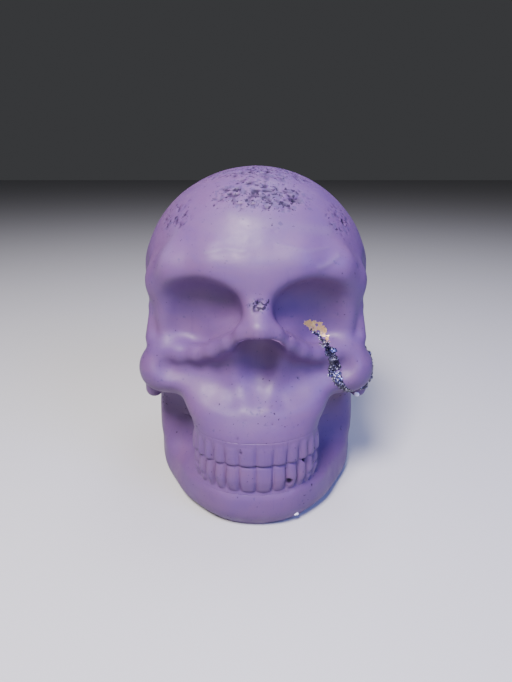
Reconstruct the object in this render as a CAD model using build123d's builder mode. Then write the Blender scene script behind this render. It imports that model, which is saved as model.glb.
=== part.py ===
"""A cast skull that stands on the flat underside of its own jaw.

The face looks along -Y, +Z is up, and the origin is the middle of the object's box, on the
plane that it stands on. Left and right are the skull's own, so its left side is +X.
The skull is a solid casting. It is divided where its forms divide: the cranium, the lower
jaw, the teeth of both jaws, and the glitter and gold leaf that lie in the surface.
"""

import os

from build123d import *

os.makedirs("parts", exist_ok=True)

# Driving dimensions, millimetres.
width = 104.0  # across the braincase
depth = 126.0  # from the front teeth to the back of the head
height = 142.0  # from the plane it stands on to the crown
bite_z = 31.0  # where the upper and lower teeth meet
socket_x, socket_z = 20.3, 88.0  # middle of the left eye socket
face_y = -depth / 2
back_y = depth / 2

# Level sections of the head below the braincase, by height. Each is the left half of an
# outline, from the middle of the back round to the middle of the front. In order, its points
# are the back, the back corner, the back of the side, the side, the corner in front of it,
# the hollow or the cheek, the corner of the face, beside the nose, and the front.
sections = {
    0: [(0, 22), (24, 21), (40, 14), (45, 0), (42.5, -16), (36, -30), (27, -43), (14, -54), (0, -57.5)],
    4: [(0, 23), (25, 22), (41, 15), (46.5, 0), (44, -17), (37.5, -31), (28, -44.5), (14.5, -55.5), (0, -59)],
    12: [(0, 25), (26, 24), (42, 17), (47, 0), (44.5, -16), (35, -29), (26, -43), (13.5, -55), (0, -59.5)],
    22: [(0, 29), (26, 28), (42, 20), (47, 2), (45, -14), (30, -22), (24.5, -38), (13, -54.5), (0, -60)],
    31: [(0, 33), (27, 31), (42, 23), (47, 4), (45, -12), (28, -17), (23, -34), (12.5, -54.5), (0, -60.5)],
    42: [(0, 38), (28, 35), (42, 26), (46.5, 5), (44.5, -12), (29, -18), (24, -34), (13, -54), (0, -60)],
    50: [(0, 42), (29, 39), (42, 28), (46, 6), (46, -16), (38, -28), (28, -40), (14, -54), (0, -60)],
    58: [(0, 46), (30, 43), (43, 31), (47, 8), (50, -18), (43, -34), (31, -45), (14, -55), (0, -60)],
    70: [(0, 51), (32, 47), (45, 34), (48, 10), (46.5, -20), (41, -36), (30, -45), (12, -53), (0, -57.5)],
    88: [(0, 54), (33, 49), (46, 35), (48, 12), (43, -18), (42, -32), (28, -45), (9, -51), (0, -59.5)],
    105: [(0, 52), (33, 47), (45, 33), (48, 12), (44, -20), (42, -34), (28, -47.5), (14, -52), (0, -52.5)],
    114: [(0, 48), (30, 42), (40, 28), (43, 10), (40, -16), (34, -30), (24, -40), (12, -46), (0, -47.5)],
}


def ellipsoid(radii):
    with BuildPart() as ball:
        Sphere(1)
        scale(by=radii)
    return ball.part


# ---- The whole casting, before it is divided -------------------------------------------

with BuildPart() as head:
    for z, left_half in sections.items():
        right_half = [(-x, y) for x, y in left_half[-2:0:-1]]
        with BuildSketch(Plane.XY.offset(z)):
            with BuildLine():
                Spline(*left_half, *right_half, periodic=True)
            make_face()
    loft()

braincase_radii = (width / 2, 59.0, 50.0)
braincase = ellipsoid(braincase_radii)
socket = ellipsoid((15.0, 21.0, 15.5))
nostril = ellipsoid((7.5, 14.0, 13.0))

with BuildPart() as casting:
    add(head.part)
    with Locations((0, back_y - braincase_radii[1], height - braincase_radii[2])):
        add(braincase)
    for side in (-1, 1):
        with Locations(Location((side * socket_x, -52, socket_z), (0, side * 14, 0))):
            add(socket, mode=Mode.SUBTRACT)
        with Locations(Location((side * 5.5, -58, 69), (0, side * -14, 0))):
            add(nostril, mode=Mode.SUBTRACT)


# ---- Teeth -----------------------------------------------------------------------------

# Each kind from the middle of the jaw outwards: name, width, thickness.
tooth_kinds = [
    ("central_incisor", 8.2, 4.4),
    ("lateral_incisor", 6.6, 4.6),
    ("canine", 6.4, 5.4),
    ("first_premolar", 5.8, 5.8),
    ("second_premolar", 5.6, 6.0),
    ("first_molar", 6.8, 6.4),
]
arch_side, arch_reach = 25.0, 30.0  # half axes of the dental arch, along the teeth's faces
crown_height = 10.0
root_height = 4.0
tooth_gap = 0.3
bite_gap = 0.4  # between the upper and lower teeth
tooth_levels = [  # height above the biting edge, share of the width, share of the thickness
    (0, 0.94, 0.7),
    (3.5, 1.0, 1.0),
    (crown_height, 0.92, 0.9),
    (crown_height + root_height, 0.75, 0.6),
]
arch = EllipticalCenterArc((0, face_y + arch_reach), arch_side, arch_reach, 270, arc_size=90)


def arch_point(reached, inward):
    """A point so far along the dental arch from its middle, and so far inside it."""
    place = arch.position_at(reached, position_mode=PositionMode.LENGTH)
    ahead = arch.tangent_at(reached, position_mode=PositionMode.LENGTH)
    return place.X - ahead.Y * inward, place.Y + ahead.X * inward


def tooth(side, up, middle, tooth_width, thickness):
    """A tooth whose root points along up. Its sides follow rays square to the arch."""
    with BuildPart() as body:
        for level, broad, thick in tooth_levels:
            reach = (tooth_width - tooth_gap) / 2 * broad
            outer = thickness * (1 - thick) / 2
            inner = thickness * (1 + thick) / 2
            corners = [
                arch_point(middle - reach, outer),
                arch_point(middle + reach, outer),
                arch_point(middle + reach, inner),
                arch_point(middle - reach, inner),
            ]
            edge_z = bite_z + up * (bite_gap / 2 + level)
            with BuildSketch(Plane.XY.offset(edge_z)) as profile:
                with BuildLine():
                    Polyline(*[(side * x, y) for x, y in corners], close=True)
                make_face()
                fillet(profile.vertices(), radius=0.9)
        loft(ruled=True)
    return body.part


teeth = {}
for jaw, up in (("upper", 1), ("lower", -1)):
    reached = 0.0
    for kind, tooth_width, thickness in tooth_kinds:
        middle = reached + tooth_width / 2
        for hand, side in (("right", -1), ("left", 1)):
            teeth[f"{jaw}_{hand}_{kind}"] = tooth(side, up, middle, tooth_width, thickness)
        reached += tooth_width


# ---- Glitter and leaf caught in the surface of the left cheek and socket -----------------

vein_path = [(25, -44, 75), (30, -45, 68), (33, -43, 61), (38, -36, 53)]
vein_radius = 3.0
leaf_place, leaf_radius = (22.5, -35, 80.5), 4.0
crumbs = [((48.3, -22, 61), 3.2), ((48.3, -24, 56), 2.6), ((48, -21, 66), 2.2)]

with BuildPart() as vein_tube:
    with BuildLine() as vein_line:
        Spline(*vein_path)
    with BuildSketch(Plane(origin=vein_line.edge() @ 0, z_dir=vein_line.edge() % 0)):
        Circle(vein_radius)
    sweep()

with BuildPart() as glitter_vein:
    add(casting.part)
    add(vein_tube.part, mode=Mode.INTERSECT)

with BuildPart() as gold_leaf:
    add(casting.part)
    with Locations(leaf_place):
        Sphere(leaf_radius, mode=Mode.INTERSECT)

with BuildPart() as glitter_clump:
    for place, radius in crumbs:
        with Locations(place):
            Sphere(radius)


# ---- The cranium and the lower jaw -----------------------------------------------------

branch_top_z = 52.0
branch_front_y, branch_back_y = -17.0, 8.0
branch_inner_x = 30.0

with BuildPart() as jaw_region:
    with Locations((0, 0, bite_z / 2)):
        Box(2 * width, 2 * depth, bite_z)
    with BuildSketch(Plane.YZ.offset(branch_inner_x)):
        with BuildLine():
            Polyline(
                (branch_front_y, bite_z),
                (branch_front_y + 3, branch_top_z),
                (branch_back_y, branch_top_z),
                (branch_back_y + 3, bite_z),
                close=True,
            )
        make_face()
    extrude(amount=width)
    mirror(about=Plane.YZ)

set_in = [*teeth.values(), glitter_vein.part, gold_leaf.part, glitter_clump.part]

with BuildPart() as mandible:
    add(casting.part)
    add(jaw_region.part, mode=Mode.INTERSECT)
    add(set_in, mode=Mode.SUBTRACT)

with BuildPart() as cranium:
    add(casting.part)
    add(jaw_region.part, mode=Mode.SUBTRACT)
    add(set_in, mode=Mode.SUBTRACT)

pieces = {
    "cranium": cranium.part,
    "mandible": mandible.part,
    "glitter_vein": glitter_vein.part,
    "gold_leaf": gold_leaf.part,
    "glitter_clump": glitter_clump.part,
    **teeth,
}
for name, body in pieces.items():
    body.label = name
    export_step(body, f"parts/{name}.step")
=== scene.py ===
"""A cast skull of marbled lavender resin, with glitter and gold leaf caught in its surface.

The skull is worked out as one distance field in millimetres, in the frame of the CAD model,
and is divided into the CAD model's pieces: cranium, mandible, teeth and inlays. Each piece is
meshed where its own region meets the field, and runs on a little inside its neighbours.
"""
from math import radians

import bpy
import numpy as np
import openvdb
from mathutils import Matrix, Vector


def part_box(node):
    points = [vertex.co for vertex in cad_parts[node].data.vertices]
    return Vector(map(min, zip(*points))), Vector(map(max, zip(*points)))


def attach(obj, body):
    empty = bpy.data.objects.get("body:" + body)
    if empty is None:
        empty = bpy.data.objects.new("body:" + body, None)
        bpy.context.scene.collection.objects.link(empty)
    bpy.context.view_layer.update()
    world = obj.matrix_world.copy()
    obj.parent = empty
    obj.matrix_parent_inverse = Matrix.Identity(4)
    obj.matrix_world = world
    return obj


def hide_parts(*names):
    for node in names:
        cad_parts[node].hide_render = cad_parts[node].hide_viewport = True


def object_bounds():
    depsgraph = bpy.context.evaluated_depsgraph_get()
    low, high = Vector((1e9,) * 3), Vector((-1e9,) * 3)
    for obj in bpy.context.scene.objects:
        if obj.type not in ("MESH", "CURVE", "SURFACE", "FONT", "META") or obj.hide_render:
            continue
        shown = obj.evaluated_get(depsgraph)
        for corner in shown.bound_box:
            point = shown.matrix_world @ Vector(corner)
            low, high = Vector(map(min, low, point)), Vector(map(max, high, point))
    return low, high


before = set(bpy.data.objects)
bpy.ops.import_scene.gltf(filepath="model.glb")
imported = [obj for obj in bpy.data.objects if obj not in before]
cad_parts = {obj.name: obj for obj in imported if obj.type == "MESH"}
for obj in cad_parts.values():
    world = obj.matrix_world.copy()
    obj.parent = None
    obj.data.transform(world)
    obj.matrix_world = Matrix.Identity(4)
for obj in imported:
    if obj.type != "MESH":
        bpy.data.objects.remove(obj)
cad_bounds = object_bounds()

MM = 0.001
cad_low, cad_high = (np.array(corner) / MM for corner in cad_bounds)
half_width = (cad_high[0] - cad_low[0]) / 2
face_y, back_y = cad_low[1], cad_high[1]
crown_z = cad_high[2]
bite_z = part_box("upper_left_central_incisor")[0][2] / MM - 0.2


# ---- Blends and solids, as distances in millimetres -------------------------------------


def join(a, b, soft):
    """The union of two solids, with a fillet of about the given size where they meet."""
    share = np.clip(0.5 + 0.5 * (b - a) / soft, 0, 1)
    return b + (a - b) * share - soft * share * (1 - share)


def cut(a, b, soft):
    """Solid a with solid b taken away, with a rounded edge."""
    return -join(-a, b, soft)


def ellipsoid(p, centre, radii, tilt=0.0, turn=0.0):
    """An ellipsoid, turned about Z and then tilted in its own XZ plane, in degrees."""
    x, y, z = (p[axis] - centre[axis] for axis in range(3))
    if turn:
        c, s = np.cos(radians(turn)), np.sin(radians(turn))
        x, y = c * x + s * y, c * y - s * x
    if tilt:
        c, s = np.cos(radians(tilt)), np.sin(radians(tilt))
        x, z = c * x + s * z, c * z - s * x
    near = np.sqrt((x / radii[0]) ** 2 + (y / radii[1]) ** 2 + (z / radii[2]) ** 2)
    slope = np.sqrt(
        (x / radii[0] ** 2) ** 2 + (y / radii[1] ** 2) ** 2 + (z / radii[2] ** 2) ** 2
    )
    return near * (near - 1) / np.maximum(slope, 1e-6)


def rod(p, start, end, start_radius, end_radius):
    """A tapering round bar with round ends."""
    start, end = np.array(start, float), np.array(end, float)
    along = end - start
    offset = [p[axis] - start[axis] for axis in range(3)]
    share = sum(offset[axis] * along[axis] for axis in range(3)) / along.dot(along)
    share = np.clip(share, 0, 1)
    gap = sum((offset[axis] - share * along[axis]) ** 2 for axis in range(3))
    return np.sqrt(gap) - start_radius - (end_radius - start_radius) * share


def chain(p, points, radii, soft):
    """Rods from point to point, joined softly."""
    solid = None
    for place in range(len(points) - 1):
        link = rod(p, points[place], points[place + 1], radii[place], radii[place + 1])
        solid = link if solid is None else join(solid, link, soft)
    return solid


lattice = np.random.default_rng(7).uniform(-1, 1, (32, 32, 32)).astype(np.float32)


def grain(x, y, z, size):
    """Smooth noise from -1 to 1, whose lumps are about the given size."""
    corner, part = [], []
    for value, shift in ((x, 3.7), (y, 11.3), (z, 19.9)):
        place = value / size + shift
        low = np.floor(place)
        share = place - low
        corner.append(low.astype(int))
        part.append(share * share * (3 - 2 * share))
    total = 0.0
    for i in (0, 1):
        for j in (0, 1):
            for k in (0, 1):
                weight = 1.0
                for step_on, share in zip((i, j, k), part):
                    weight = weight * (share if step_on else 1 - share)
                total = total + weight * lattice[
                    (corner[0] + i) % 32, (corner[1] + j) % 32, (corner[2] + k) % 32
                ]
    return total


def strip(x, z, points):
    """The distance in the XZ plane to a strip, given as points with its half width at each."""
    nearest = np.full(np.shape(x), 1e3)
    for (x0, z0, wide0), (x1, z1, wide1) in zip(points, points[1:]):
        length = np.hypot(x1 - x0, z1 - z0)
        share = np.clip(((x - x0) * (x1 - x0) + (z - z0) * (z1 - z0)) / length**2, 0, 1)
        gap = np.hypot(x - x0 - share * (x1 - x0), z - z0 - share * (z1 - z0))
        nearest = np.minimum(nearest, gap - wide0 - (wide1 - wide0) * share)
    return nearest


# ---- The head below the braincase, from level sections ----------------------------------

# Each section is the left half of an outline, from the middle of the back to the front.
axis_y = -8.0  # the sections are measured outwards from this upright line
sections = {
    0: [(0, 22), (24, 21), (40, 14), (45, 0), (42.5, -16), (36, -30), (27, -43), (14, -54), (0, -57.5)],
    4: [(0, 23), (25, 22), (41, 15), (46.5, 0), (44, -17), (37.5, -31), (29, -45), (15, -57), (0, -60.2)],
    12: [(0, 25), (26, 24), (42, 17), (47, 0), (44.5, -16), (37, -31), (28.5, -47), (15, -59), (0, -61.8)],
    15: [(0, 26.5), (26, 25), (42, 18), (47, 0.5), (44.5, -15.5),
         (36, -30), (28, -46.8), (14.8, -58.8), (0, -61.6)],
    20: [(0, 29), (26, 28), (42, 20), (47, 2), (45, -14),
         (31, -26), (24.5, -46.5), (13.5, -57.5), (0, -59.8)],
    31: [(0, 33), (27, 31), (42, 23), (47, 4), (45, -12), (29, -22), (24.5, -48), (13.5, -58.5), (0, -61)],
    42: [(0, 38), (28, 35), (42, 26), (46.5, 5), (44.5, -12),
         (29, -24), (25, -49), (13.5, -59.3), (0, -62)],
    50: [(0, 42), (29, 39), (42, 28), (46, 6), (46, -14), (34, -29), (27, -48.5), (14, -56), (0, -58.5)],
    58: [(0, 46), (30, 43), (43, 31), (47, 8), (48, -18), (42, -34), (29, -45), (14.5, -51), (0, -53.5)],
    70: [(0, 51), (32, 47), (45, 34), (47, 10), (45.5, -20), (40, -35), (28, -42.5), (13, -46), (0, -48)],
    88: [(0, 54), (33, 49), (46, 35), (48, 12), (43, -18), (41, -33), (28, -42), (10, -44), (0, -45)],
    103: [(0, 52), (33, 47), (45, 33), (48, 12), (44, -18), (40, -32), (28, -42), (14, -45.5), (0, -46)],
    118: [(0, 40), (22, 34), (30, 22), (33, 6), (30, -14), (25, -22), (17, -28), (9, -31), (0, -32)],
}


def hermite(knots, values, at):
    """A smooth curve through the values at the knots, read at other places."""
    slopes = np.gradient(values, knots, axis=0)
    place = np.clip(np.searchsorted(knots, at, side="right") - 1, 0, len(knots) - 2)
    gap = (knots[place + 1] - knots[place])[:, None]
    t = ((at - knots[place]) / gap[:, 0])[:, None]
    first, second = values[place], values[place + 1]
    rise, fall = slopes[place] * gap, slopes[place + 1] * gap
    return (
        first * (2 * t**3 - 3 * t**2 + 1)
        + rise * (t**3 - 2 * t**2 + t)
        + second * (3 * t**2 - 2 * t**3)
        + fall * (t**3 - t**2)
    )


turn_steps = np.linspace(0, np.pi, 241)
level_steps = np.arange(-4.0, 122.0, 0.5)


def section_table():
    """How far out the head reaches, at each level and each turn from the front to the back."""
    rows = []
    for outline in sections.values():
        half = np.array(outline[::-1], float)
        mirrored = np.concatenate([half[2:0:-1], half, half[-2:-4:-1]])
        mirrored[:2, 0] *= -1
        mirrored[-2:, 0] *= -1
        knots = np.arange(len(mirrored), dtype=float)
        curve = hermite(knots, mirrored, np.linspace(1, len(mirrored) - 2, 400))
        turn = np.arctan2(curve[:, 0], axis_y - curve[:, 1])
        reach = np.hypot(curve[:, 0], curve[:, 1] - axis_y)
        order = np.argsort(turn)
        rows.append(np.interp(turn_steps, turn[order], reach[order]))
    levels = np.array(list(sections), float)
    inside = np.clip(level_steps, levels[0], levels[-1])
    return hermite(levels, np.array(rows), inside)


reach_table = section_table()
level_slope, turn_slope = np.gradient(reach_table, level_steps, turn_steps)
lean_table = np.sqrt(1 + level_slope**2 + (turn_slope / reach_table) ** 2)


def read_table(table, turn, level):
    across = np.clip(turn / np.pi * (len(turn_steps) - 1), 0, len(turn_steps) - 1.001)
    up = np.clip((level - level_steps[0]) / 0.5, 0, len(level_steps) - 1.001)
    column, row = across.astype(int), up.astype(int)
    a, b = across - column, up - row
    low = table[row, column] * (1 - a) + table[row, column + 1] * a
    high = table[row + 1, column] * (1 - a) + table[row + 1, column + 1] * a
    return low * (1 - b) + high * b


def head(p):
    x, y, z = p
    turn = np.arctan2(x, axis_y - y)
    out = np.hypot(x, y - axis_y)
    side = (out - read_table(reach_table, turn, z)) / read_table(lean_table, turn, z)
    return np.maximum(side, z - max(sections))


# ---- The dental arch --------------------------------------------------------------------

arch_side, arch_reach = 27.0, 20.0
arch_y = face_y + arch_reach
arch_turns = np.linspace(0, np.pi, 2001)
arch_steps = np.hypot(
    np.diff(arch_side * np.sin(arch_turns)), np.diff(arch_reach * np.cos(arch_turns))
)
arch_lengths = np.concatenate([[0], np.cumsum(arch_steps)])


def on_arch(p):
    """Each point's place along the dental arch from its middle, and its distance outside it."""
    x, y, _ = p
    turn = np.arctan2(x / arch_side, (arch_y - y) / arch_reach)
    near = np.hypot(x / arch_side, (y - arch_y) / arch_reach)
    slope = np.hypot(x / arch_side**2, (y - arch_y) / arch_reach**2)
    return np.interp(turn, arch_turns, arch_lengths), near * (near - 1) / np.maximum(slope, 1e-6)


tooth_kinds = [
    ("central_incisor", 7.2, 0.5),
    ("lateral_incisor", 6.0, 0.8),
    ("canine", 5.6, 1.3),
    ("first_premolar", 5.0, 1.7),
    ("second_premolar", 4.8, 1.8),
    ("first_molar", 6.2, 1.8),
]
upper_height, lower_height = 9.0, 12.6


def tooth(place, along, out, rise, width, height, bulge):
    """A crown in the arch's own coordinates. rise is the height above its biting edge."""
    taper = 1 - 0.08 * np.clip(rise / height, 0, 1)
    across = (along - place) / (width / 2 * taper)
    deep = out + 2.7 + bulge * across**2 * 0.9 + 0.02 * (rise - 3) ** 2
    soft = 1.3
    a = np.abs(along - place) - width / 2 * taper + soft
    b = np.abs(deep) - 2.9 + soft
    c = np.abs(rise - height / 2) - height / 2 + soft
    outside = np.sqrt(np.maximum(a, 0) ** 2 + np.maximum(b, 0) ** 2 + np.maximum(c, 0) ** 2)
    return outside + np.minimum(np.maximum(a, np.maximum(b, c)), 0) - soft


def tooth_rows(p):
    """All the teeth of one side, joined softly, as one solid. The front ones nearly merge."""
    along, out = on_arch(p)
    z = p[2]
    solid = None
    for up, height in ((1, upper_height), (-1, lower_height)):
        rise = up * (z - bite_z) - 0.12
        back = 0.0 if up > 0 else 0.9 * np.clip(1 - rise / 7, 0, 1)
        reached = 0.0
        first_width, first_bulge = tooth_kinds[0][1:]
        row = tooth(-first_width / 2, along, out + back, rise, first_width, height, first_bulge)
        for _, width, bulge in tooth_kinds:
            crown = tooth(reached + width / 2, along, out + back, rise, width, height, bulge)
            row = join(row, crown, 1.6 if reached < 10 else 1.0)
            reached += width
        solid = row if solid is None else join(solid, row, 1.0)
    return solid


# ---- Marks that the mould and the pour left in the surface ------------------------------

worn_places = [  # middle and reach of each patch of bubbles, and how dense it is
    ((2, -12, 141), (36, 22, 8), 0.9),
    ((4, -34, 134), (28, 13, 9), 1.1),
    ((-33, -26, 124), (10, 14, 9), 0.8),
    ((34, -27, 123), (9, 14, 10), 0.8),
    ((1, -52, 95), (5, 9, 3.6), 1.1),
    ((-41, -31, 68), (6, 9, 7), 0.8),
    ((-47, -22, 60), (4, 7, 6), 0.8),
    ((36, -34, 104), (7, 8, 4), 0.6),
    ((6, -43, 121), (5, 8, 4), 0.4),
    ((-44, -18, 38), (4, 8, 14), 0.7),
    ((3, -56, 52), (12, 9, 9), 0.3),
    ((12, -50, 82), (7, 7, 3), 0.6),
    ((20, -50, 13), (9, 9, 6), 0.35),
]
flow_lines = [  # raised lines on the forehead: points in the XZ plane, reach, strength
    ([(-19, 113.2), (-11, 114.8), (-4, 114)], 0.7, 0.5),
    ([(8, 116.2), (19, 113.6), (27, 114.1)], 0.6, 0.45),
    ([(23.5, 107.6), (27, 108.6), (31, 111.2)], 1.0, 0.7),
    ([(-10, 126.5), (8, 123), (28, 119.2)], 2.0, 0.6),
    ([(-38, 104), (-35, 112), (-31, 119)], 1.6, 0.5),
]
bubbles = [  # middle, radius
    ((-6.1, -62, 37.5), 0.55), ((-7.3, -61.2, 43.4), 0.5), ((19.3, -54.5, 30.2), 1.0),
    ((13.3, -59.4, 22.6), 1.1), ((-29.5, -40, 28.0), 0.7), ((29, -40, 27.0), 0.6),
    ((-4.2, -50.5, 69.5), 1.0), ((-5.2, -50.5, 67.6), 1.0), ((0.8, -57, 58.6), 0.7),
    ((9.6, -53, 84.6), 0.7), ((-31.5, -42.5, 66), 0.5),
]


def worn(x, y, z):
    """How dense the bubbles are at each spot, from 0 to about 1."""
    share = 0.0
    for middle, reach, strength in worn_places:
        gap = ((x - middle[0]) / reach[0]) ** 2
        gap = gap + ((y - middle[1]) / reach[1]) ** 2 + ((z - middle[2]) / reach[2]) ** 2
        share = np.maximum(share, strength * np.clip(1.25 - gap, 0, 1))
    return share


def flow(x, y, z):
    """How much of a flow line each spot on the forehead has, from 0 to about 0.7."""
    share = 0.0
    for points, wide, strength in flow_lines:
        line = [(*point, 0) for point in points]
        share = share + strength * np.exp(-((strip(x, z, line) / wide) ** 2))
    return share * (y < -20)


def marks(x, y, z):
    """What the marks take off the surface, in millimetres, and less than nothing where raised."""
    density = worn(x, y, z)
    fine_pits = np.clip(grain(x, y, z, 1.5) + 0.9 * density - 0.95, 0, 0.5)
    broad_pits = np.clip(grain(x, y, z, 3.1) + 0.7 * density - 0.95, 0, 0.5)
    taken = 1.1 * fine_pits + 0.8 * broad_pits - 0.35 * flow(x, y, z)
    taken = taken + 0.12 * grain(x, y, z, 9.0)
    taken = taken + 0.5 * np.exp(-z / 1.4) * np.clip(grain(x, y, z, 2.6) + 0.1, 0, 1)
    for middle, radius in bubbles:
        gap = np.sqrt((x - middle[0]) ** 2 + (y - middle[1]) ** 2 + (z - middle[2]) ** 2)
        taken = taken + radius * np.clip(1.6 - gap / radius, 0, 0.8)
    return taken


# ---- The whole casting ------------------------------------------------------------------


def casting(x, y, z):
    """The distance of each point to the skull's surface, negative inside it."""
    # The nose leans a little to the skull's left.
    x = x - 1.5 * np.exp(-(((z - 80) / 15) ** 2) - (x / 18) ** 2)
    p = (np.abs(x), y, z)
    solid = head(p)
    vault = ellipsoid(p, (0, back_y - 58.5, crown_z - 50.2), (half_width - 0.3, 58.3, 50))
    forehead = ellipsoid(p, (0, -7, 98), (44.5, 42.5, 42))
    solid = join(solid, join(vault, forehead, 6), 5)

    # Brow, cheekbones, and the arches behind them.
    brow_line = [(0, -42.5, 105), (16, -42, 107.5), (31, -37, 105.5), (40.5, -29, 97)]
    brow = chain(p, brow_line, [6, 6.5, 6, 4], 4)
    solid = join(solid, brow, 8)
    cheek = ellipsoid(p, (38.3, -31, 61.5), (11.6, 12, 11), tilt=-15)
    solid = join(solid, cheek, 6)
    corner = rod(p, (43.6, -26, 60.5), (45.8, -24, 47.8), 5.5, 3.8)
    solid = join(solid, corner, 4)
    arch = chain(p, [(44, -24, 58), (45.5, -8, 60), (44, 10, 64)], [5.5, 5, 4.5], 3)
    solid = join(solid, arch, 5)

    # The groove under each wing of the nose, from the nose's foot up to the cheekbone.
    groove = chain(
        p,
        [(11.5, -56.2, 62), (18.5, -54.0, 64.8), (27, -50.2, 66.4), (35, -45.5, 66.8)],
        [8.0, 8.6, 7.8, 6.4],
        3,
    )
    solid = cut(solid, groove, 4)

    # The sockets, with their thin outer rims.
    wide = ellipsoid(p, (22.5, -52, 90.6), (19.2, 14.5, 12.9), turn=22)
    low = ellipsoid(p, (29.8, -48.5, 80.5), (13.4, 14, 12.8), turn=26)
    solid = cut(solid, join(wide, low, 7), 4)
    outer_rim = chain(p, [(42, -27.5, 99), (44.4, -28.8, 88), (43.6, -30, 75)], [3.2, 2.2, 3.4], 3)
    solid = join(solid, outer_rim, 3)

    # The nose: its bridge, the wings that run from its tip under the sockets, and the niche.
    bridge_line = [(0, -40, 101), (0, -43.5, 96), (0, -52, 90.5), (0, -56.5, 86)]
    bridge = chain(p, bridge_line, [6, 4.2, 3.8, 4.2], 3)
    solid = join(solid, bridge, 5)
    wing = chain(
        p,
        [(0, -57.5, 86.5), (6, -55.4, 84), (11.5, -51.6, 79.2), (17.5, -47.4, 74.8), (24, -43.2, 72.2),
         (31, -38.6, 71), (39, -33, 70.5)],
        [3.0, 2.7, 2.2, 2.2, 2.6, 3.2, 4.0],
        2,
    )
    solid = join(solid, wing, 6)
    solid = cut(solid, ellipsoid(p, (0, -58.2, 68.5), (10.4, 14.5, 13.5)), 4)
    solid = cut(solid, ellipsoid(p, (0, -55, 75.5), (8.4, 11, 8.5)), 3)
    temple = ellipsoid(p, (59, -20, 90), (15, 20, 22))
    solid = cut(solid, temple, 6)

    solid = join(solid, tooth_rows(p), 0.8)
    along, out = on_arch(p)
    gum_z = 39.6 + 0.25 * np.cos(along / 1.1) - 1.6 * np.exp(-((along / 1.6) ** 2))
    gum_line = np.hypot(z - gum_z, (out - 0.9) / 1.3) - 0.6
    solid = cut(solid, gum_line, 0.8)
    jaw_line = np.hypot(z - 17 - 0.35 * np.maximum(along - 14, 0) ** 1.1, (out - 0.6) / 1.6) - 1.0
    solid = cut(solid, jaw_line, 1.2)
    solid = solid + marks(x, y, z)
    return np.maximum(solid, -z)


# ---- Meshing ----------------------------------------------------------------------------

limit = 3.0  # distances further from the surface than this are cut off in the grids


def sample(distance, low, high, step):
    """The field on a grid, in blocks of 8 cells a side, worked out only near the surface."""
    counts = np.ceil((np.array(high) - low) / step / 8).astype(int)
    field = np.full(counts * 8, limit, np.float32)
    corners = np.stack(np.meshgrid(*map(np.arange, counts), indexing="ij"), -1).reshape(-1, 3) * 8
    centres = np.array(low) + (corners + 3.5) * step
    near = distance(*centres.T)
    reach = 8 * step * 0.87 + limit
    cells = np.stack(np.meshgrid(*[np.arange(8)] * 3, indexing="ij"), -1).reshape(-1, 3)
    for i, j, k in corners[near < -reach]:
        field[i : i + 8, j : j + 8, k : k + 8] = -limit
    busy = corners[np.abs(near) <= reach]
    for start in range(0, len(busy), 1500):
        spots = busy[start : start + 1500, None] + cells[None]
        places = np.array(low) + spots.reshape(-1, 3) * step
        values = distance(*places.T)
        i, j, k = spots.reshape(-1, 3).T
        field[i, j, k] = np.clip(values, -limit, limit)
    return field


def mesh_of(name, field, low, step):
    """A closed mesh where the field is zero."""
    grid = openvdb.FloatGrid(background=limit)
    grid.copyFromArray(np.ascontiguousarray(field, np.float32))
    points, quads = grid.convertToQuads(0.0)
    points = (points * step + np.array(low)) * MM
    data = bpy.data.meshes.new(name)
    data.from_pydata(points.tolist(), [], quads[:, ::-1].tolist())
    data.polygons.foreach_set("use_smooth", np.ones(len(quads), bool))
    data.update()
    piece = bpy.data.objects.new(name, data)
    bpy.context.scene.collection.objects.link(piece)
    return piece


branch_inner_x, branch_top_z = 30, 52  # the upright branches of the lower jaw
branch_middle_y, branch_half_depth = -4.5, 12.5


def jaw_side(x, y, z):
    """Negative in the lower jaw: below the bite, and in the branches behind the cheeks."""
    branch = np.maximum(branch_inner_x - np.abs(x), z - branch_top_z)
    branch = np.maximum(branch, np.abs(y - branch_middle_y) - branch_half_depth)
    return np.minimum(z - bite_z, branch)


cell_depth = 4.2  # how far the teeth's own meshes reach behind the arch


def tooth_cell(x, y, z, place, width, up, side, height):
    """Negative in the room that one tooth has in the arch, up to its gum."""
    along, out = on_arch((np.abs(x), y, z))
    along_gap = np.abs(along - place) - width / 2
    rise = up * (z - bite_z)
    cell = np.maximum(along_gap, np.abs(rise - height / 2) - height / 2)
    cell = np.maximum(cell, -out - cell_depth)
    return np.maximum(cell, -side * x)


overlap = 0.4  # how far each piece runs on inside its neighbour, so that no seam opens
gum_reach = 1.4  # the teeth's own meshes run this far past the gum line


def teeth_cells():
    """Name, place along the arch, width, up or down, and side of each tooth."""
    for jaw, up, height in (("upper", 1, upper_height), ("lower", -1, lower_height)):
        reached = 0.0
        for kind, width, _ in tooth_kinds:
            for hand, side in (("right", -1), ("left", 1)):
                yield f"{jaw}_{hand}_{kind}", reached + width / 2, width, up, side, height
            reached += width


arch_length = sum(width for _, width, _ in tooth_kinds)


def all_teeth(x, y, z):
    """Negative in the room of all the teeth together."""
    along, out = on_arch((np.abs(x), y, z))
    tall = np.maximum(z - bite_z - upper_height - gum_reach, bite_z - lower_height - gum_reach - z)
    return np.maximum(np.maximum(along - arch_length, tall), -out - cell_depth)


margin = 3.0
fine = 0.36
coarse = 0.7


def grid_places(field, low, step):
    return np.meshgrid(
        *[low[axis] + np.arange(field.shape[axis]) * step for axis in range(3)],
        indexing="ij",
        sparse=True,
    )


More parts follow.
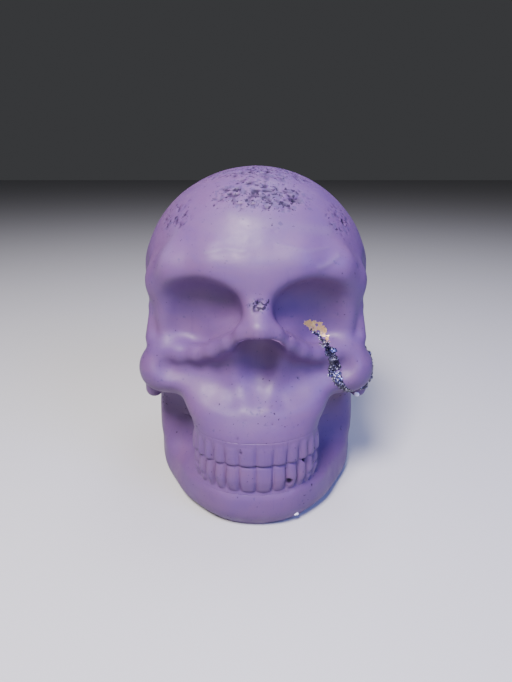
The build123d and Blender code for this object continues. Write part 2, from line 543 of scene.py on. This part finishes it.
def make_pieces():
    made = {}
    low = cad_low - margin
    field = sample(casting, low, cad_high + margin, coarse)
    x, y, z = grid_places(field, low, coarse)
    x, y, z = x + 0 * field, y + 0 * field, z + 0 * field
    not_teeth = -all_teeth(x, y, z) - overlap
    jaw = jaw_side(x, y, z)
    bare = np.maximum(field, not_teeth)
    made["cranium"] = mesh_of("cranium", np.maximum(bare, -jaw - overlap), low, coarse)
    made["mandible"] = mesh_of("mandible", np.maximum(bare, jaw - overlap), low, coarse)
    low = np.array([-28.0, face_y - 2, bite_z - lower_height - 4])
    high = np.array([28.0, -24.0, bite_z + upper_height + 4])
    field = sample(casting, low, high, fine)
    x, y, z = grid_places(field, low, fine)
    x, y, z = x + 0 * field, y + 0 * field, z + 0 * field
    for name, place, width, up, side, height in teeth_cells():
        cell = tooth_cell(x, y, z, place, width, up, side, height + gum_reach) - overlap / 2
        made[name] = mesh_of(name, np.maximum(field, cell), low, fine)
    return made


pieces = make_pieces()


# ---- Glitter and gold leaf caught in the surface -----------------------------------------


inlay_step = 0.3


def inlay(name, points, raised, ragged):
    """A thin layer that stands a little proud of the surface, with a ragged edge."""
    wide = max(half for _, _, half in points) + 2
    low = np.array([min(x for x, _, _ in points) - wide, -60, min(z for _, z, _ in points) - wide])
    high = np.array([max(x for x, _, _ in points) + wide, -28, max(z for _, z, _ in points) + wide])
    field = sample(casting, low, high, inlay_step)
    x, y, z = grid_places(field, low, inlay_step)
    x, y, z = x + 0 * field, y + 0 * field, z + 0 * field
    edge = strip(x, z, points) + ragged * grain(x, y, z, 1.1) + 0.5 * ragged * grain(x, y, z, 0.6)
    proud = raised * (0.6 + 0.8 * grain(x, y, z, 0.8))
    return mesh_of(name, np.maximum(np.maximum(field - proud, edge), -field - 1.0), low, inlay_step)


def on_surface(spots):
    """The nearest points of the skull's surface."""
    nudge = 0.3
    for _ in range(4):
        here = casting(*spots.T)
        slope = np.stack(
            [casting(*(spots + nudge * np.eye(3)[axis]).T) - here for axis in range(3)], axis=1
        )
        slope /= np.maximum(np.linalg.norm(slope, axis=1), 1e-6)[:, None]
        spots = spots - here[:, None] * slope
    return spots


def crumbs(name, route, count, spread, sizes, seed):
    """Small lumps scattered along a route on the surface, half sunk in it."""
    draw = np.random.default_rng(seed)
    route = np.array(route, float)
    place = draw.uniform(0, len(route) - 1, count)
    first = np.minimum(place.astype(int), len(route) - 2)
    share = (place - first)[:, None]
    spots = route[first] * (1 - share) + route[first + 1] * share
    spots = on_surface(spots + draw.normal(0, spread, (count, 3)))
    radii = draw.uniform(*sizes, count)
    low = spots.min(axis=0) - max(sizes) - 1
    high = spots.max(axis=0) + max(sizes) + 1
    axes = [np.arange(low[axis], high[axis], inlay_step) for axis in range(3)]
    x, y, z = np.meshgrid(*axes, indexing="ij")
    field = np.full(x.shape, limit)
    for (a, b, c), radius in zip(spots, radii):
        squeeze = draw.uniform(0.7, 1.3, 3)
        off = [(x - a) / squeeze[0], (y - b) / squeeze[1], (z - c) / squeeze[2]]
        gap = np.sqrt(off[0] ** 2 + off[1] ** 2 + off[2] ** 2)
        field = join(field, gap - radius, 0.25)
    field = field + 0.15 * grain(x, y, z, 0.7)
    return mesh_of(name, np.clip(field, -limit, limit), low, inlay_step)


inlays = {
    "gold_leaf": inlay(
        "gold_leaf", [(20.2, 83.2, 1.4), (23.6, 81.2, 2.6), (26.8, 78.8, 2.8), (29, 76.4, 1.5)], 0.04, 0.9
    ),
    "glitter_vein": inlay(
        "glitter_vein",
        [(22.6, 79.6, 0.4), (26.8, 75.8, 0.9), (30.6, 71.6, 2.1), (31.6, 67.5, 2.0), (32.2, 63, 2.9),
         (34, 58.5, 1.8), (37.5, 55, 1.4), (41.5, 51.5, 1.1)],
        0.3,
        0.8,
    ),
    "glitter_clump": crumbs(
        "glitter_clump",
        [(50, -21, 66), (51, -23, 60), (50, -26, 55), (48, -29, 50)],
        70,
        1.2,
        (0.6, 1.4),
        3,
    ),
    "pale_drops": crumbs("pale_drops", [(44.6, -27, 46.6), (45.4, -26.6, 46.4)], 3, 0.25, (0.6, 1.0), 5),
    "pale_crumb": crumbs("pale_crumb", [(17.2, -56.5, 3.4), (17.6, -56.3, 3.9)], 3, 0.4, (0.5, 0.9), 8),
}


# ---- Shade carried by the surface: how little of the sky each spot sees ------------------

shade_step = 2.0
shade_low = cad_low - 6
shade_axes = [np.arange(shade_low[axis], cad_high[axis] + 6, shade_step) for axis in range(3)]
shade_places = np.meshgrid(*shade_axes, indexing="ij")
shade_field = casting(*(axis.ravel() for axis in shade_places)).reshape(shade_places[0].shape)
shade_field = shade_field.astype(np.float32)


def read_grid(spots):
    """The coarse field at each spot, and well outside where the grid ends."""
    place = (spots - shade_low) / shade_step
    cell = np.round(place).astype(int)
    inside = np.all((cell >= 0) & (cell < shade_field.shape), axis=1)
    cell = np.where(inside[:, None], cell, 0)
    return np.where(inside, shade_field[cell[:, 0], cell[:, 1], cell[:, 2]], 9.0)


def sky_directions():
    """Directions over the upper half, most of them high and a little to the front."""
    found = []
    for rise, count in ((80, 4), (62, 8), (42, 10), (20, 10)):
        for place in range(count):
            turn = 2 * np.pi * (place + 0.5 * (count % 4 == 0)) / count
            level = np.cos(radians(rise))
            found.append((level * np.sin(turn), -level * np.cos(turn), np.sin(radians(rise))))
    return np.array(found)


def vertex_array(data, name):
    values = np.empty(len(data.vertices) * 3, np.float32)
    data.vertices.foreach_get(name, values)
    return values.reshape(-1, 3)


def store(piece, name, values):
    layer = piece.data.attributes.new(name, "FLOAT", "POINT")
    layer.data.foreach_set("value", values.astype(np.float32))


def sky_shade(piece):
    """Stores how shaded each spot is, 0 in the open and 1 where no sky is seen."""
    spots = vertex_array(piece.data, "co") / MM
    normals = vertex_array(piece.data, "normal")
    start = spots + normals * 1.6
    seen = np.zeros(len(spots))
    total = 0.0
    for way in sky_directions():
        weight = 0.4 + way[2] - 0.8 * way[1]
        facing = np.clip(normals @ way + 0.15, 0, 1)
        open_way = np.ones(len(spots), bool)
        for reach in (2.5, 5, 8, 11.5, 15.5, 20, 26, 33):
            open_way &= read_grid(start + way * reach) > 0
        seen += weight * facing * open_way
        total += weight * 0.5
    shade = np.clip(1 - seen / total, 0, 1)
    store(piece, "shade", shade)
    store(piece, "worn", worn(*spots.T))
    # How deep the marks cut, kept for the painted shade in the pits and dents.
    pit = np.clip(marks(*spots.T) * 1.6 - 0.15, 0, 1)
    store(piece, "pit", pit)
    store(piece, "flow", flow(*spots.T))


for piece in pieces.values():
    sky_shade(piece)


# ---- Materials --------------------------------------------------------------------------


class Nodes:
    """A short way to add and link shader nodes."""

    def __init__(self, name):
        self.material = bpy.data.materials.new(name)
        self.material.use_nodes = True
        self.tree = self.material.node_tree
        self.shader = self.tree.nodes["Principled BSDF"]

    def add(self, kind, **settings):
        node = self.tree.nodes.new(kind)
        for key, value in settings.items():
            setattr(node, key, value)
        return node

    def link(self, source, target):
        self.tree.links.new(source, target)

    def place(self, stretch=(1, 1, 1)):
        """Object coordinates in millimetres, stretched."""
        coordinates = self.add("ShaderNodeTexCoord")
        mapping = self.add("ShaderNodeMapping")
        mapping.inputs["Scale"].default_value = [1000 * share for share in stretch]
        self.link(coordinates.outputs["Object"], mapping.inputs["Vector"])
        return mapping.outputs["Vector"]

    def noise(self, vector, scale, detail=4, rough=0.55, distort=0.0):
        node = self.add("ShaderNodeTexNoise")
        node.inputs["Scale"].default_value = scale
        node.inputs["Detail"].default_value = detail
        node.inputs["Roughness"].default_value = rough
        node.inputs["Distortion"].default_value = distort
        self.link(vector, node.inputs["Vector"])
        return node.outputs["Fac"]

    def ramp(self, value, stops):
        node = self.add("ShaderNodeValToRGB")
        for place, (position, color) in enumerate(stops):
            stop = node.color_ramp.elements[place] if place < 2 else node.color_ramp.elements.new(position)
            stop.position = position
            stop.color = (*color, 1) if len(color) == 3 else color
        self.link(value, node.inputs["Fac"])
        return node.outputs["Color"]

    def mix(self, share, first, second, blend="MIX"):
        node = self.add("ShaderNodeMix", data_type="RGBA", blend_type=blend)
        for value, socket in ((share, node.inputs[0]), (first, node.inputs[6]), (second, node.inputs[7])):
            if isinstance(value, (int, float)):
                socket.default_value = value
            elif isinstance(value, tuple):
                socket.default_value = (*value, 1)
            else:
                self.link(value, socket)
        return node.outputs[2]

    def math(self, operation, first, second):
        node = self.add("ShaderNodeMath", operation=operation)
        for value, socket in ((first, node.inputs[0]), (second, node.inputs[1])):
            if isinstance(value, (int, float)):
                socket.default_value = value
            else:
                self.link(value, socket)
        return node.outputs[0]

    def bump(self, height, strength, distance):
        node = self.add("ShaderNodeBump")
        node.inputs["Strength"].default_value = strength
        node.inputs["Distance"].default_value = distance * MM
        self.link(height, node.inputs["Height"])
        return node.outputs["Normal"]


def resin_material():
    n = Nodes("resin")

    def surface(name):
        return n.add("ShaderNodeAttribute", attribute_name=name).outputs["Fac"]

    # Marbling: slow clouds of pink lavender and periwinkle, with finer streaks in them.
    clouds = n.noise(n.place((1, 1, 1.4)), 0.035, 5, 0.6, 1.2)
    color = n.ramp(clouds, [(0.36, (0.56, 0.32, 0.84)), (0.6, (0.82, 0.43, 0.76))])
    streaks = n.noise(n.place((0.05, 0.05, 0.45)), 1.0, 4, 0.6, 0.6)
    streak_share = n.ramp(streaks, [(0.5, (0, 0, 0)), (0.72, (0.55, 0.55, 0.55))])
    color = n.mix(streak_share, color, (0.74, 0.48, 0.80))
    # Paler along the forehead's flow lines: the lines are raised in the surface, and this paler colour on
    # them is a painted highlight.
    color = n.mix(surface("flow"), color, (0.90, 0.72, 0.95))
    # Fine upright threads, as the resin ran down the mould.
    threads = n.noise(n.place((0.9, 0.9, 0.07)), 1.0, 3, 0.7, 0.3)
    thread_share = n.ramp(threads, [(0.58, (0, 0, 0)), (0.7, (0.4, 0.4, 0.4))])
    color = n.mix(thread_share, color, (0.16, 0.08, 0.26))
    # Painted shade: the colour goes to deep violet where the surface sees little sky, in the sockets, under
    # the nose and brow and in other hollows.
    dark = n.ramp(
        surface("shade"),
        [(0.34, (0, 0, 0)), (0.58, (0.4, 0.4, 0.4)), (0.84, (0.95, 0.95, 0.95))],
    )
    color = n.mix(dark, color, (0.055, 0.025, 0.095))
    # Grey blotches and dark specks, dense where the surface is worn.
    drifts = n.math("MULTIPLY", surface("worn"), n.noise(n.place(), 0.09, 3, 0.6))
    blotch_level = n.math("ADD", n.noise(n.place(), 0.5, 2, 0.55), n.math("MULTIPLY", drifts, 0.34))
    blotch_share = n.ramp(blotch_level, [(0.695, (0, 0, 0)), (0.72, (0.45, 0.45, 0.45))])
    color = n.mix(blotch_share, color, (0.04, 0.035, 0.09))
    speck_level = n.math("ADD", n.noise(n.place(), 0.75, 2, 0.5), n.math("MULTIPLY", drifts, 0.26))
    speck_share = n.ramp(speck_level, [(0.725, (0, 0, 0)), (0.74, (1, 1, 1))])
    # Dark specks of the resin, and painted shade: the pits and dents that the marks cut are painted near
    # black.
    speck_and_pit_shade_share = n.math("MAXIMUM", n.math("MULTIPLY", speck_share, 0.85), surface("pit"))
    color = n.mix(speck_and_pit_shade_share, color, (0.01, 0.007, 0.018))
    n.link(color, n.shader.inputs["Base Color"])
    sheen = n.noise(n.place(), 0.12, 4, 0.6)
    satin = n.ramp(sheen, [(0.3, (0.42, 0.42, 0.42)), (0.7, (0.62, 0.62, 0.62))])
    n.link(satin, n.shader.inputs["Roughness"])
    n.link(n.bump(n.noise(n.place(), 1.6, 4, 0.6), 0.12, 0.12), n.shader.inputs["Normal"])
    dull = n.math("SUBTRACT", 0.3, n.math("MULTIPLY", n.math("MAXIMUM", speck_and_pit_shade_share, blotch_share), 0.28))
    n.link(dull, n.shader.inputs["Specular IOR Level"])
    n.shader.inputs["Subsurface Weight"].default_value = 0.06
    n.shader.inputs["Subsurface Radius"].default_value = (0.8, 0.5, 1.0)
    n.shader.inputs["Subsurface Scale"].default_value = 0.001
    return n.material


def glitter_material():
    """Dark flakes of foil in resin, a few of them bright."""
    n = Nodes("glitter")
    flakes = n.add("ShaderNodeTexVoronoi")
    flakes.inputs["Scale"].default_value = 2.3
    n.link(n.place(), flakes.inputs["Vector"])
    split = n.add("ShaderNodeSeparateColor")
    n.link(flakes.outputs["Color"], split.inputs["Color"])
    color = n.ramp(
        split.outputs[0],
        [(0.0, (0.004, 0.003, 0.01)), (0.6, (0.015, 0.012, 0.035)),
         (0.85, (0.05, 0.045, 0.1)), (0.96, (0.4, 0.38, 0.5))],
    )
    n.link(color, n.shader.inputs["Base Color"])
    n.link(n.ramp(split.outputs[1], [(0.4, (0, 0, 0)), (0.6, (1, 1, 1))]), n.shader.inputs["Metallic"])
    n.shader.inputs["Roughness"].default_value = 0.28
    n.link(n.bump(split.outputs[2], 0.5, 0.3), n.shader.inputs["Normal"])
    return n.material


def gold_material():
    """Gold leaf, broken up, with resin showing between its flakes."""
    n = Nodes("gold")
    flakes = n.noise(n.place(), 0.8, 4, 0.65)
    n.link(
        n.ramp(flakes, [(0.34, (0.30, 0.18, 0.26)), (0.48, (0.42, 0.26, 0.09)), (0.7, (0.62, 0.46, 0.20))]),
        n.shader.inputs["Base Color"],
    )
    n.link(n.ramp(flakes, [(0.38, (0, 0, 0)), (0.5, (0.6, 0.6, 0.6))]), n.shader.inputs["Metallic"])
    n.shader.inputs["Roughness"].default_value = 0.36
    n.link(n.bump(n.noise(n.place(), 1.8, 4, 0.6), 0.5, 0.3), n.shader.inputs["Normal"])
    return n.material


def pale_material():
    """Almost clear resin that dripped over the rim."""
    n = Nodes("pale_resin")
    tint = n.noise(n.place(), 0.7, 3)
    color = n.ramp(tint, [(0.3, (0.62, 0.58, 0.72)), (0.7, (0.86, 0.84, 0.9))])
    n.link(color, n.shader.inputs["Base Color"])
    n.shader.inputs["Roughness"].default_value = 0.3
    return n.material


resin = resin_material()
for name, piece in pieces.items():
    piece.data.materials.append(resin)
    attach(piece, "root")
    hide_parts(name)
glitter, gold, pale = glitter_material(), gold_material(), pale_material()
inlay_materials = {"gold_leaf": gold, "pale_drops": pale, "pale_crumb": pale}
for name, piece in inlays.items():
    piece.data.materials.append(inlay_materials.get(name, glitter))
    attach(piece, "root")
    if not name.startswith("pale"):
        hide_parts(name)


# ---- Stage, light and camera ------------------------------------------------------------

bpy.ops.mesh.primitive_plane_add(size=6, location=(0, 0, 0))
floor = bpy.context.object
floor.name = "floor"
paper = bpy.data.materials.new("paper")
paper.use_nodes = True
paper.node_tree.nodes["Principled BSDF"].inputs["Base Color"].default_value = (0.4, 0.4, 0.41, 1)
floor.data.materials.append(paper)

world = bpy.data.worlds.new("studio")
bpy.context.scene.world = world
world.use_nodes = True
world.node_tree.nodes["Background"].inputs["Color"].default_value = (0.92, 0.94, 1.0, 1)
world.node_tree.nodes["Background"].inputs["Strength"].default_value = 0.05


def lamp(name, place, target, size, power, color):
    data = bpy.data.lights.new(name, "AREA")
    data.shape = "SQUARE"
    data.size = size
    data.energy = power
    data.color = color
    light = bpy.data.objects.new(name, data)
    light.location = place
    light.rotation_euler = (Vector(target) - Vector(place)).to_track_quat("-Z", "Y").to_euler()
    bpy.context.scene.collection.objects.link(light)


lamp("key", (-0.16, -0.42, 0.66), (0, 0, 0.07), 0.22, 20.5, (1.0, 0.93, 0.92))
lamp("overhead", (0.12, 0.18, 0.8), (0, 0, 0.1), 0.3, 3.6, (0.8, 0.84, 1.0))
lamp("side", (0.4, -0.42, 0.46), (0, 0, 0.08), 0.3, 5.6, (0.28, 0.34, 1.0))
lamp("fill", (-0.05, -0.55, 0.12), (0, 0, 0.06), 0.3, 0.35, (1.0, 0.92, 0.95))

camera_data = bpy.data.cameras.new("camera")
camera = bpy.data.objects.new("camera", camera_data)
bpy.context.scene.collection.objects.link(camera)
bpy.context.scene.camera = camera
camera.location = (0.0, -0.235, 0.147)
camera.rotation_euler = (radians(70), 0, 0)
camera_data.lens = 27.1
camera_data.sensor_width = 36
camera_data.sensor_fit = "VERTICAL"
camera_data.sensor_height = 36
camera_data.clip_start = 0.01
